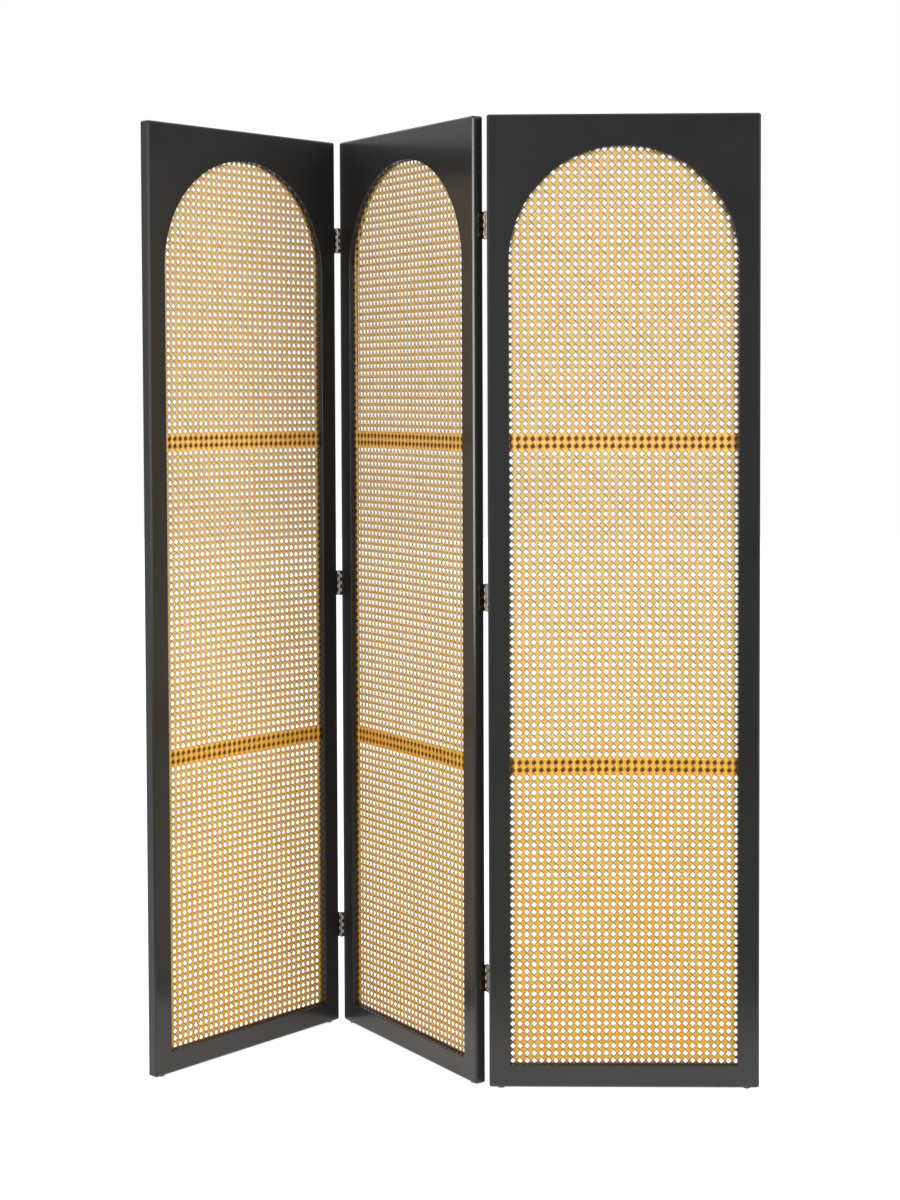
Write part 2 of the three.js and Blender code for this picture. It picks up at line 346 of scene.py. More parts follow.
def add_node(tree, kind, inputs=None, **settings):
    """A node with its settings, and its inputs given as values or as sockets to link from."""
    node = tree.nodes.new(kind)
    for key, value in settings.items():
        setattr(node, key, value)
    for key, value in (inputs or {}).items():
        if isinstance(value, bpy.types.NodeSocket):
            tree.links.new(value, node.inputs[key])
        else:
            node.inputs[key].default_value = value
    return node


def noise(tree, vector, scale, detail=2.0):
    inputs = {"Vector": vector, "Scale": scale, "Detail": detail}
    return add_node(tree, "ShaderNodeTexNoise", inputs).outputs["Fac"]


def ramp(tree, factor, *stops):
    """Colour from a factor by (position, colour) stops. A colour may be one grey number."""
    node = add_node(tree, "ShaderNodeValToRGB", {"Fac": factor})
    elements = node.color_ramp.elements
    while len(elements) < len(stops):
        elements.new(0.5)
    for element, (position, color) in zip(elements, stops):
        element.position = position
        shade = (color,) * 3 if isinstance(color, (int, float)) else color
        element.color = (*shade, 1)
    return node.outputs["Color"]


def mix(tree, factor, first, second, blend_type="MIX"):
    node = add_node(tree, "ShaderNodeMix", data_type="RGBA", blend_type=blend_type)
    for socket, value in ((node.inputs[0], factor), (node.inputs[6], first), (node.inputs[7], second)):
        if isinstance(value, bpy.types.NodeSocket):
            tree.links.new(value, socket)
        elif isinstance(value, tuple):
            socket.default_value = (*value, 1)
        else:
            socket.default_value = value
    return node.outputs[2]


def maths(tree, operation, first, second=0.0):
    return add_node(tree, "ShaderNodeMath", {0: first, 1: second}, operation=operation).outputs[0]


def scaled(tree, vector, factors, offset=None):
    node = add_node(tree, "ShaderNodeMapping", {"Vector": vector, "Scale": factors})
    if offset is not None:
        tree.links.new(offset, node.inputs["Location"])
    return node.outputs["Vector"]


def bump(tree, height, distance, strength=1.0, below=None):
    inputs = {"Height": height, "Distance": distance, "Strength": strength}
    if below is not None:
        inputs["Normal"] = below
    return add_node(tree, "ShaderNodeBump", inputs).outputs["Normal"]


def own_coordinates(tree):
    """Each object's own coordinates, moved by a random share of a long step, so that no two
    panels look alike."""
    place = add_node(tree, "ShaderNodeTexCoord").outputs["Object"]
    chance = add_node(tree, "ShaderNodeObjectInfo").outputs["Random"]
    shift = add_node(tree, "ShaderNodeVectorMath", {0: (3.1, 5.7, 2.3)}, operation="SCALE")
    tree.links.new(chance, shift.inputs["Scale"])
    return scaled(tree, place, (1, 1, 1), shift.outputs["Vector"])


# ---------------------------------------------------------------- materials

def lacquer(name, grain, dark, light, gloss):
    """Satin paint with specks of dust, over wood whose grain runs along the axis with the small factor.
    On the crossbars its brown is painted light, for the amber light that the cane throws on them."""
    material, tree, shader = new_material(name)
    place = own_coordinates(tree)
    cloud = noise(tree, place, 4.0, 4.0)
    tone = ramp(tree, cloud, (0.3, dark), (0.7, light))
    cells = add_node(tree, "ShaderNodeTexVoronoi", {"Vector": place, "Scale": 75.0})
    specks = ramp(tree, cells.outputs["Distance"], (0.03, 1.0), (0.07, 0.0))
    chosen = ramp(tree, cells.outputs["Color"], (0.72, 0.0), (0.78, 1.0))
    dust = maths(tree, "MULTIPLY", specks, chosen)
    tree.links.new(mix(tree, dust, tone, DUST), shader.inputs["Base Color"])
    smudge = noise(tree, place, 9.0, 5.0)
    roughness = ramp(tree, smudge, (0.35, 0.40), (0.5, 0.46), (0.72, 0.54))
    tree.links.new(roughness, shader.inputs["Roughness"])
    shader.inputs["Specular IOR Level"].default_value = 0.12
    shader.inputs["Coat Weight"].default_value = gloss
    shader.inputs["Coat Roughness"].default_value = 0.18
    pores = noise(tree, scaled(tree, place, grain), 1.0, 3.0)
    peel = noise(tree, place, 900.0, 1.0)
    low = bump(tree, pores, 0.12 * MM, 0.5)
    tree.links.new(bump(tree, peel, 0.02 * MM, 0.6, low), shader.inputs["Normal"])
    return material


def cane_material(name, deep, straw, pale, rim_shadow, rim_start):
    """Split cane: smooth skin with fine fibres, rims darkened as painted shadow of the gaps between
    strands, and scattered growth marks.
    """
    material, tree, shader = new_material(name)
    strand = add_node(tree, "ShaderNodeAttribute", attribute_name="strand").outputs["Vector"]
    along, across, chance = add_node(tree, "ShaderNodeSeparateXYZ", {0: strand}).outputs
    tone = ramp(tree, chance, (0.0, deep), (0.4, straw), (1.0, pale))
    fibres = noise(tree, scaled(tree, strand, (60.0, 4.0, 90.0)), 1.0, 4.0)
    tone = mix(tree, ramp(tree, fibres, (0.35, 0.0), (0.75, 0.5)), tone, FIBRE_BROWN)
    marks = noise(tree, scaled(tree, strand, (11.0, 0.0, 70.0)), 1.0, 2.0)
    tone = mix(tree, ramp(tree, marks, (0.68, 0.0), (0.76, 0.55)), tone, MARK_BROWN)
    # Painted shadow: the rims of each strand darkened for the shadow gaps beside it.
    rim = maths(tree, "ABSOLUTE", across)
    tone = mix(tree, ramp(tree, rim, (rim_start, 0.0), (1.0, 0.9)), tone, rim_shadow)
    place = add_node(tree, "ShaderNodeTexCoord").outputs["Object"]
    height = add_node(tree, "ShaderNodeSeparateXYZ", {0: place}).outputs["Z"]
    # Painted shade: the cane darker and more amber towards the bottom.
    tone = mix(tree, 1.0, tone, ramp(tree, height, *PAINTED_HEIGHT_SHADE), "MULTIPLY")
    clear = add_node(tree, "ShaderNodeAttribute", attribute_name="clearance").outputs["Fac"]
    # Painted shadow of the frame's lip: the cane darkens towards the edge of the opening.
    tone = mix(tree, 1.0, tone, ramp(tree, clear, *FRAME_SHADOW_TINT), "MULTIPLY")
    for level in BAR_HEIGHTS:
        away = maths(tree, "ABSOLUTE", maths(tree, "SUBTRACT", height, level))
        over = maths(tree, "LESS_THAN", away, BAR_HALF + BAND_SPILL)
        tone = mix(tree, over, tone, mix(tree, 1.0, tone, BAND_TINT, "MULTIPLY"))
    tree.links.new(tone, shader.inputs["Base Color"])
    tree.links.new(ramp(tree, fibres, (0.3, 0.36), (0.7, 0.52)), shader.inputs["Roughness"])
    shader.inputs["Specular IOR Level"].default_value = 0.3
    tree.links.new(bump(tree, fibres, 0.08 * MM, 0.6), shader.inputs["Normal"])
    return material


def metal(name, clean, tarnished, painted_shade=None):
    """Plated steel, brushed along the hinge line, with brown tarnish in patches. A leaf's plate is
    darkened as painted reflection of dark surroundings, with a ragged edge, while the barrel and the
    free edge stay bright as painted highlight."""
    material, tree, shader = new_material(name)
    place = own_coordinates(tree)
    patches = noise(tree, place, 120.0, 5.0)
    tone = ramp(tree, patches, (0.38, clean), (0.72, tarnished))
    if painted_shade:
        # Painted shade on the plate, ending raggedly before the barrel and the free edge, which stay
        # bright as painted highlight.
        unmoved = add_node(tree, "ShaderNodeTexCoord").outputs["Object"]
        out = add_node(tree, "ShaderNodeSeparateXYZ", {0: unmoved}).outputs["Y"]
        ragged = maths(tree, "ADD", out, maths(tree, "MULTIPLY", patches, 2 * SHADE_EDGE_SPREAD))
        share = maths(tree, "DIVIDE", ragged, LEAF_WIDTH + SHADE_EDGE_SPREAD)
        shaded_plate = ramp(tree, share, (0.22, 0.0), (0.32, 1.0), (0.95, 1.0), (0.98, 0.0))
        tone = mix(tree, shaded_plate, tone, painted_shade)
    tree.links.new(tone, shader.inputs["Base Color"])
    shader.inputs["Metallic"].default_value = 1.0
    brushed = noise(tree, scaled(tree, place, (4000.0, 4000.0, 160.0)), 1.0, 2.0)
    tree.links.new(ramp(tree, brushed, (0.3, 0.30), (0.7, 0.45)), shader.inputs["Roughness"])
    tree.links.new(bump(tree, brushed, 0.02 * MM, 0.5), shader.inputs["Normal"])
    return material


def plastic():
    """Brown moulded nylon of the glides, scuffed all over."""
    material, tree, shader = new_material("glide_nylon")
    place = own_coordinates(tree)
    scuffs = noise(tree, scaled(tree, place, (300.0, 900.0, 300.0)), 1.0, 4.0)
    plain, scuffed = NYLON
    tone = ramp(tree, scuffs, (0.4, plain), (0.75, scuffed))
    tree.links.new(tone, shader.inputs["Base Color"])
    tree.links.new(ramp(tree, scuffs, (0.3, 0.4), (0.7, 0.62)), shader.inputs["Roughness"])
    tree.links.new(bump(tree, scuffs, 0.05 * MM, 0.5), shader.inputs["Normal"])
    return material


upright_lacquer = lacquer("black_lacquer_upright", (900.0, 900.0, 25.0), *BLACK, 0.8)
level_lacquer = lacquer("black_lacquer_level", (25.0, 900.0, 900.0), *BLACK, 0.8)
# Painted light: the bars' brown stands in for amber light from the cane.
bar_amber_light = lacquer("crossbar_painted_amber_light", (25.0, 900.0, 900.0), *BROWN, 0.2)
plain_cane = cane_material("cane_upright_and_level", *PLAIN_CANE, PLAIN_RIM_SHADOW, 0.7)
# The diagonals' darker cane materials are painted shade.
shaded_rising_cane = cane_material("cane_rising", *RISING_CANE_SHADED, RISING_RIM_SHADOW, 0.55)
shaded_falling_cane = cane_material("cane_falling", *FALLING_CANE_SHADED, FALLING_RIM_SHADOW, 0.55)
hinge_metal = metal("hinge_nickel", *NICKEL, LEAF_PAINTED_SHADE)
pin_metal = metal("pin_nickel", *NICKEL)
screw_metal = metal("screw_bronze", *BRONZE)
glide_nylon = plastic()


# ---------------------------------------------------------------- wooden frame

def panel_outline(inset):
    """The panel's outer edge, set in by inset, with round corners, as (x, z) points."""
    radius = CORNER - inset
    x, top, foot = HALF_WIDTH - CORNER, PANEL_TOP - CORNER, PANEL_FOOT + CORNER
    points = []
    for quarter, centre in enumerate(((x, top), (-x, top), (-x, foot), (x, foot))):
        for step in range(CORNER_STEPS + 1):
            angle = (quarter + step / CORNER_STEPS) * math.pi / 2
            points.append((centre[0] + radius * math.cos(angle), centre[1] + radius * math.sin(angle)))
    return points


def opening_outline(margin):
    """The arched opening, grown by a margin, as (x, z) points."""
    radius = ARCH_RADIUS + margin
    angles = (step / ARCH_STEPS * math.pi for step in range(ARCH_STEPS + 1))
    points = [(radius * math.cos(a), SPRING + radius * math.sin(a)) for a in angles]
    return points + [(-radius, SILL - margin), (radius, SILL - margin)]


def frame_board():
    """The whole frame as one rounded board with its rabbet, before it is cut into four."""
    quarter = quarter_turn(ARRIS_STEPS)

    def arris(radius):
        """(offset, depth) points from the face round to the edge."""
        return [(radius * (1 - math.sin(a)), radius * (1 - math.cos(a))) for a in quarter]

    start = CHAMFER + CHAMFER_EASE * math.tan(math.pi / 8)
    ease = []
    for angle in quarter:
        inset = start - CHAMFER_EASE * math.sin(angle / 2)
        ease.append((inset, CHAMFER_EASE * (1 - math.cos(angle / 2))))
    outer = ease + [(depth, inset) for inset, depth in reversed(ease)]
    outer += [(inset, THICKNESS - depth) for inset, depth in reversed(arris(BACK_ARRIS))]
    inner = arris(OPENING_ARRIS) + [(0, FRONT_LIP), (RABBET, FRONT_LIP)]
    for angle in quarter:
        margin = RABBET + RABBET_ARRIS * (1 - math.cos(angle))
        inner.append((margin, THICKNESS - RABBET_ARRIS * (1 - math.sin(angle))))

    bm = bmesh.new()

    def rings(outline, profile):
        return [[bm.verts.new((x, depth, z)) for x, z in outline(offset)] for offset, depth in profile]

    outside = rings(panel_outline, outer)
    inside = rings(opening_outline, inner)
    for group in (outside, inside):
        for first, second in zip(group, group[1:]):
            join_rings(bm, first, second)
    fill(bm, outside[0], inside[0])
    fill(bm, outside[-1], inside[-1])
    bmesh.ops.recalc_face_normals(bm, faces=bm.faces)
    return bm


def cut_board(board, *planes):
    """A copy of the board without what lies beyond each (point, normal) plane."""
    bm = board.copy()
    for point, normal in planes:
        everything = bm.verts[:] + bm.edges[:] + bm.faces[:]
        cut = bmesh.ops.bisect_plane(bm, geom=everything, dist=1e-7, plane_co=point, plane_no=normal,
                                     clear_outer=True)
        rim = [item for item in cut["geom_cut"] if isinstance(item, bmesh.types.BMEdge)]
        bmesh.ops.holes_fill(bm, edges=rim)
    return bm


def frame_meshes():
    """The four boards of a frame, cut from the whole with hairline joints between them."""
    board = frame_board()
    left, right = Vector((-1, 0, 0)), Vector((1, 0, 0))
    up, down = Vector((0, 0, 1)), Vector((0, 0, -1))
    spring, sill = SPRING * up, (SILL + THICKNESS) * up
    cuts = {
        "left_stile": ((left * (ARCH_RADIUS + HAIRLINE), right), (spring + HAIRLINE * down, up)),
        "right_stile": ((right * (ARCH_RADIUS + HAIRLINE), left), (spring + HAIRLINE * down, up)),
        "arch_head": ((spring + HAIRLINE * up, down),),
        "bottom_rail": (
            (left * (ARCH_RADIUS - HAIRLINE), left),
            (right * (ARCH_RADIUS - HAIRLINE), right),
            (sill, up),
        ),
    }
    meshes = {}
    for part, planes in cuts.items():
        material = upright_lacquer if "stile" in part else level_lacquer
        meshes[part] = to_mesh(cut_board(board, *planes), part, material)
    return meshes


def bead_meshes():
    """The four beads, square on the opening's side except for their rounded back edge."""
    section = rounded((
        (0, BEAD_FRONT, SMALL_ARRIS),
        (BEAD_WIDTH, BEAD_FRONT, SMALL_ARRIS),
        (BEAD_WIDTH, BEAD_BACK, SMALL_ARRIS),
        (0, BEAD_BACK, BEAD_ARRIS),
    ))
    foot = bead_low.z
    reach = ARCH_RADIUS - 2 * SEAM
    arch = []
    for step in range(ARCH_STEPS + 1):
        angle = step / ARCH_STEPS * math.pi
        outward = Vector((math.cos(angle), math.sin(angle)))
        arch.append((outward * ARCH_RADIUS + Vector((0, SPRING + HAIRLINE)), outward))
    runs = {
        "left_bead": [((-ARCH_RADIUS, z), (-1, 0)) for z in (foot, SPRING - HAIRLINE)],
        "right_bead": [((ARCH_RADIUS, z), (1, 0)) for z in (foot, SPRING - HAIRLINE)],
        "bottom_bead": [((x, SILL), (0, -1)) for x in (-reach, reach)],
        "arch_bead": arch,
    }
    meshes = {}
    for part, stations in runs.items():
        material = level_lacquer if part == "bottom_bead" else upright_lacquer
        meshes[part] = to_mesh(sweep(section, stations), part, material)
    return meshes


def crossbar_mesh():
    """A bar centred on z = 0, rounded on its back."""
    section = rounded((
        (-BAR_HALF, BEAD_FRONT, SMALL_ARRIS),
        (BAR_HALF, BEAD_FRONT, SMALL_ARRIS),
        (BAR_HALF, BEAD_BACK, BAR_ARRIS),
        (-BAR_HALF, BEAD_BACK, BAR_ARRIS),
    ))
    stations = [((x, 0), (0, 1)) for x in (-BAR_REACH, BAR_REACH)]
    return to_mesh(sweep(section, stations), "crossbar", bar_amber_light)


def glide_mesh():
    """A nail-on glide: a rounded tread, hollow over the nail's head, and drawn in at the wood."""
    radius, height = (glide_high.x - glide_low.x) / 2, PANEL_FOOT
    tread, seat = 0.8 * radius, 0.93 * radius
    profile = [(0, 0.12 * height), (0.3 * radius, 0.1 * height), (0.36 * radius, 0), (0.9 * tread, 0)]
    for angle in quarter_turn(DOME_STEPS):
        bulge = (radius - tread) * math.sin(angle)
        profile.append((tread + bulge, 0.55 * height * (1 - math.cos(angle))))
    profile += [(radius, 0.8 * height), (seat, 0.88 * height), (seat, height), (0, height)]
    return to_mesh(lathe(profile, ROUND_STEPS), "glide", glide_nylon)


# ---------------------------------------------------------------- cane weave

def half_span(height):
    """Half of the width that the cane covers at a height."""
    rise = np.maximum(height - SPRING, 0)
    return np.sqrt(np.maximum(CANE_REACH * CANE_REACH - rise * rise, 0))


def is_covered(x, z):
    return (z >= CANE_FOOT) & (z <= CANE_TOP) & (np.abs(x) <= half_span(z))


def clearance(x, z):
    """Distance from the edge of the opening, 0 behind the frame and 1 from FRAME_SHADOW_REACH inwards."""
    beside = np.minimum(ARCH_RADIUS - np.abs(x), z - SILL)
    under_arch = ARCH_RADIUS - np.hypot(x, z - SPRING)
    return np.clip(np.where(z > SPRING, under_arch, beside) / FRAME_SHADOW_REACH, 0, 1)


def drift(x, z):
    """How far the whole weave has been pulled out of true at a place, sideways and upwards."""
    aside = 1.3 * MM * np.sin(2.1 * z + 0.6) - 0.5 * MM * np.sin(5.3 * z)
    rise = 1.1 * MM * np.cos(7.0 * x) + 0.5 * MM * np.sin(11.0 * x + 3.0 * z)
    return aside, rise


class Weave:
    """Collects strands as closed strips in one mesh, thick in the middle and sharp at the rims."""

    def __init__(self, width, material):
        self.width = width
        self.material = material
        self.verts = []
        self.marks = []
        self.clear = []
        self.faces = []
        self.count = 0

    def strand(self, x, z, rise, sideways):
        """x, z and rise towards the front at each station; sideways is the unit (x, z) across."""
        stations = len(x)
        width = self.width * (1 + WIDTH_SPREAD * random.standard_normal())
        shift = PLACE_SPREAD * random.standard_normal()
        along = np.concatenate(([0], np.cumsum(np.hypot(np.diff(x), np.diff(z)))))
        wander = WANDER * np.sin(along * random.uniform(8, 30) + random.uniform(0, 6))
        aside, lift = drift(x, z)
        middle_x = x + aside + (shift + wander) * sideways[0]
        middle_z = z + lift + (shift + wander) * sideways[1]
        ring = []
        for across, high in ((-0.5, 0), (0, 1), (0.5, 0), (0, -1)):
            ring.append(np.stack((
                middle_x + across * width * sideways[0],
                CANE_DEPTH - rise - high * STRAND_HALF_THICK,
                middle_z + across * width * sideways[1],
            ), axis=1))
        self.verts.append(np.stack(ring, axis=1).reshape(-1, 3))
        chance = random.random()
        marks = np.empty((stations, 4, 3))
        marks[:, :, 0] = along[:, None]
        marks[:, :, 1] = (-1, 0, 1, 0)
        marks[:, :, 2] = chance
        self.marks.append(marks.reshape(-1, 3))
        self.clear.append(np.repeat(clearance(x, z), 4))
        first = self.count + 4 * np.arange(stations - 1)[:, None]
        corner, following = np.arange(4), np.roll(np.arange(4), -1)
        sides = (first + corner, first + following, first + following + 4, first + corner + 4)
        self.faces.append(np.stack(sides, axis=2).reshape(-1, 4))
        last = self.count + 4 * (stations - 1)
        self.faces.append(np.array([[self.count + 3, self.count + 2, self.count + 1, self.count],
                                    [last, last + 1, last + 2, last + 3]]))
        self.count += 4 * stations

    def mesh(self, name):
        verts, faces = np.concatenate(self.verts), np.concatenate(self.faces)
        mesh = bpy.data.meshes.new(name)
        mesh.vertices.add(len(verts))
        mesh.vertices.foreach_set("co", verts.astype(np.float32).ravel())
        mesh.loops.add(4 * len(faces))
        mesh.loops.foreach_set("vertex_index", faces.astype(np.int32).ravel())
        mesh.polygons.add(len(faces))
        mesh.polygons.foreach_set("loop_start", np.arange(0, 4 * len(faces), 4, dtype=np.int32))
        mesh.update(calc_edges=True)
        marks = mesh.attributes.new("strand", "FLOAT_VECTOR", "POINT")
        marks.data.foreach_set("vector", np.concatenate(self.marks).astype(np.float32).ravel())
        clear = mesh.attributes.new("clearance", "FLOAT", "POINT")
        clear.data.foreach_set("value", np.concatenate(self.clear).astype(np.float32))
        mesh.shade_smooth()
        mesh.set_sharp_from_angle(angle=math.radians(60))
        mesh.materials.append(self.material)
        return mesh


def plain_stations(start, end, pitch, phase):
    """Places along an upright or a row: both sides of each crossing, and half way between."""
    first, last = math.floor((start - phase) / pitch) - 1, math.ceil((end - phase) / pitch) + 1
    hold = PLAIN_HOLD / pitch
    cells = np.arange(first, last)[:, None]
    places = ((cells + np.array([-hold, hold, 0.5])) * pitch + phase).ravel()
    inside = places[(places > start + END_MARGIN) & (places < end - END_MARGIN)]
    return np.concatenate(([start], inside, [end]))


def upright_strands():
    """Pairs of uprights, which go over one row and under the next, and over where the pairs
    beside them go under."""
    weave = Weave(PLAIN_WIDTH, plain_cane)
    columns = math.floor((CANE_REACH - PLAIN_WIDTH) / PITCH_X)
    for column in range(-columns, columns + 1):
        for side in (-1, 1):
            x = column * PITCH_X + side * PAIR_OFFSET
            top = SPRING + math.sqrt(CANE_REACH ** 2 - x * x)
            z = plain_stations(CANE_FOOT, top, PITCH_Z, ROW_PHASE)
            rise = PLAIN_RISE * (-1) ** column * np.cos(math.pi * (z - ROW_PHASE) / PITCH_Z)
            weave.strand(np.full_like(z, x), z, rise, (1, 0))
    return weave


def level_strands():
    """Pairs of level strands, which rise wherever the uprights that they cross go down."""
    weave = Weave(PLAIN_WIDTH, plain_cane)
    first_row = math.ceil((CANE_FOOT - ROW_PHASE) / PITCH_Z)
    last_row = math.floor((CANE_TOP - ROW_PHASE) / PITCH_Z)
    for row in range(first_row, last_row + 1):
        for side in (-1, 1):
            z = ROW_PHASE + row * PITCH_Z + side * PAIR_OFFSET
            reach = float(half_span(z)) if CANE_FOOT < z < CANE_TOP else 0
            if reach < PITCH_X:
                continue
            x = plain_stations(-reach, reach, PITCH_X, 0)
            rise = -PLAIN_RISE * (-1) ** row * np.cos(math.pi * x / PITCH_X)
            weave.strand(x, np.full_like(x, z), rise, (0, 1))
    return weave


def diagonal_strands(slope):
    """A strand of slope 1 climbs to the right, over the uprights and under the rows. One of
    slope -1 falls to the right, under the uprights and over the rows."""
    weave = Weave(DIAGONAL_WIDTH, shaded_rising_cane if slope > 0 else shaded_falling_cane)
    columns = math.ceil(CANE_REACH / PITCH_X) + 1
    turns = np.arange(-columns, columns, 0.25) + 0.125
    rise = slope * DIAGONAL_RISE * np.sign(np.cos(2 * math.pi * turns))
    length = math.hypot(PITCH_X, PITCH_Z)
    sideways = (-slope * PITCH_Z / length, PITCH_X / length)
    rows = math.ceil(PANEL_TOP / PITCH_Z)
    for row in range(-columns, rows + columns):
        z = ROW_PHASE + (row + 0.5 + slope * turns) * PITCH_Z
        x = turns * PITCH_X
        keep = is_covered(x, z)
        if keep.sum() > 3:
            weave.strand(x[keep], z[keep], rise[keep], sideways)
    return weave


# ---------------------------------------------------------------- hinges

def leaf_outline(first_knuckle):
    """The leaf laid flat, as (y, z) points, and where in them each knuckle's root starts."""
    pitch = 2 * LEAF_HALF / KNUCKLES
    setback = KNUCKLE_RADIUS + 2 * SEAM
    points, roots = [], []
    for row in range(KNUCKLES):
        low = -LEAF_HALF + row * pitch
        high = low + pitch
        if row % 2 == first_knuckle:
            low += 0 if row == 0 else KNUCKLE_GAP / 2
            high -= 0 if row == KNUCKLES - 1 else KNUCKLE_GAP / 2
            roots.append(len(points))
            points += [(0, low), (0, high)]
        else:
            low -= 0 if row == 0 else KNUCKLE_GAP / 2
            high += 0 if row == KNUCKLES - 1 else KNUCKLE_GAP / 2
            points += [(setback, low), (setback, high)]
    for corner_z, start in ((LEAF_HALF - LEAF_CORNER, math.pi / 2), (LEAF_CORNER - LEAF_HALF, 0)):
        for turned in quarter_turn(CORNER_STEPS):
            angle = start - turned
            y = LEAF_WIDTH - LEAF_CORNER + LEAF_CORNER * math.cos(angle)
            points.append((y, corner_z + LEAF_CORNER * math.sin(angle)))
    return points, roots


def leaf_mesh(name, first_knuckle):
    """A hinge leaf with its hinge line as the z axis and wood beyond its +x face."""
    bm = bmesh.new()
    shown, hidden = KNUCKLE_RADIUS - LEAF_THICKNESS, KNUCKLE_RADIUS
    outline, roots = leaf_outline(first_knuckle)

    def loop(x, points):
        return [bm.verts.new((x, y, z)) for y, z in points]

    def hole(x, centre, radius):
        return loop(x, [(centre[0] + y, centre[1] + z) for y, z in circle(radius, HOLE_STEPS)])

    near, far = loop(shown, outline), loop(hidden, outline)
    sinks, bores = [], []
    for centre in SCREW_ROWS:
        sink = hole(shown, centre, SINK_RADIUS)
        neck = hole(shown + SINK_DEPTH, centre, HOLE_RADIUS)
        bore = hole(hidden, centre, HOLE_RADIUS)
        join_rings(bm, sink, neck)
        join_rings(bm, neck, bore)
        sinks.append(sink)
        bores.append(bore)
    fill(bm, near, *sinks)
    fill(bm, far, *bores)
    for i in range(len(outline)):
        j = (i + 1) % len(outline)
        if i not in roots:
            bm.faces.new((near[i], near[j], far[j], far[i]))
            continue
        root = [near[i], near[j], far[j], far[i]]
        ring = root
        for step in range(1, CURL_STEPS + 1):
            turn = Matrix.Rotation(-CURL_TURN * step / CURL_STEPS, 3, "Z")
            curled = [bm.verts.new(turn @ vert.co) for vert in root]
            join_rings(bm, ring, curled)
            ring = curled
        bm.faces.new(ring)
    return to_mesh(bm, name, hinge_metal)


def pin_mesh():
    """A straight pin with a domed head at each end."""
    profile = [(0, -PIN_HALF)]
    neck = PIN_HALF - PIN_HEAD_HEIGHT
    dome = []
    for angle in quarter_turn(DOME_STEPS)[1:]:
        height = neck + PIN_HEAD_HEIGHT * (0.25 + 0.75 * math.cos(angle))
        dome.append((PIN_HEAD_RADIUS * math.sin(angle), height))
    dome.append((PIN_HEAD_RADIUS, neck))
    profile += [(radius, -height) for radius, height in dome]
    profile += [(PIN_RADIUS, -neck), (PIN_RADIUS, neck)]
    profile += list(reversed(dome))
    profile.append((0, PIN_HALF))
    return to_mesh(lathe(profile, PIN_STEPS), "hinge_pin", pin_metal)


def screw_mesh():
    """A countersunk cross-head screw. Its head faces +z at z = 0, and its shank goes down."""
    head, shank = SINK_RADIUS - 0.12 * MM, 0.85 * HOLE_RADIUS
    profile = [(0, -9 * MM), (0.4 * MM, -7.5 * MM), (shank, -5 * MM), (shank, -1.3 * MM)]
    profile += [(head, -0.12 * MM), (head, -0.02 * MM), (0.9 * head, 0.05 * MM), (0.6 * head, 0.1 * MM)]
    profile += [(0.3 * head, 0.12 * MM), (0, 0.12 * MM)]
    turned = to_mesh(lathe(profile, ROUND_STEPS), "screw_solid", screw_metal)
    solid = bpy.data.objects.new("screw_solid", turned)
    bm = bmesh.new()
    for turn in (0, math.pi / 2):
        slot = Matrix.Rotation(turn, 4, "Z") @ Matrix.Diagonal((1.15 * head, 0.27 * head, 1.4 * MM, 1))
        bmesh.ops.create_cube(bm, size=1, matrix=slot)
    cross = bpy.data.objects.new("screw_cross", to_mesh(bm, "screw_cross", screw_metal))
    for item in (solid, cross):
        bpy.context.scene.collection.objects.link(item)
    cut = solid.modifiers.new("cross", "BOOLEAN")
    cut.object = cross
    cut.operation = "DIFFERENCE"
    cut.solver = "EXACT"
    cut.use_self = True
    bevel_edges(solid, SCREW_BEVEL)
    mesh = bpy.data.meshes.new_from_object(solid.evaluated_get(bpy.context.evaluated_depsgraph_get()))
    mesh.name = "screw"
    for item in (solid, cross):
        bpy.data.objects.remove(item)
    return mesh


# ---------------------------------------------------------------- assembly

def build_panels():
    woods = {**frame_meshes(), **bead_meshes()}
    bar, glide = crossbar_mesh(), glide_mesh()
    weaves = {
        "uprights": upright_strands().mesh("cane_uprights"),
        "rows": level_strands().mesh("cane_rows"),
        "rising": diagonal_strands(1).mesh("cane_rising"),
        "falling": diagonal_strands(-1).mesh("cane_falling"),
    }
    for side, place in PLACES.items():
        body = f"{side}_panel"
        for part, mesh in woods.items():
            node = f"{body}_{part}"
            flatten_normals(add_piece(f"{node}_wood", mesh, place, body, node))
        for level, height in zip(("lower", "upper"), BAR_HEIGHTS):
            lifted = place @ Matrix.Translation((0, 0, height))
            node = f"{body}_{level}_crossbar"
            flatten_normals(add_piece(f"{body}_{level}_bar", bar, lifted, body, node))
        for strands, mesh in weaves.items():
            add_piece(f"{body}_cane_{strands}", mesh, place, body, f"{body}_cane")
        for end in ("left", "right"):
            low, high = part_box(f"{body}_{end}_glide")
            spot = Matrix.Translation(((low.x + high.x) / 2, (low.y + high.y) / 2, 0))
            add_piece(f"{body}_{end}_nylon_glide", glide, spot, body, f"{body}_{end}_glide")


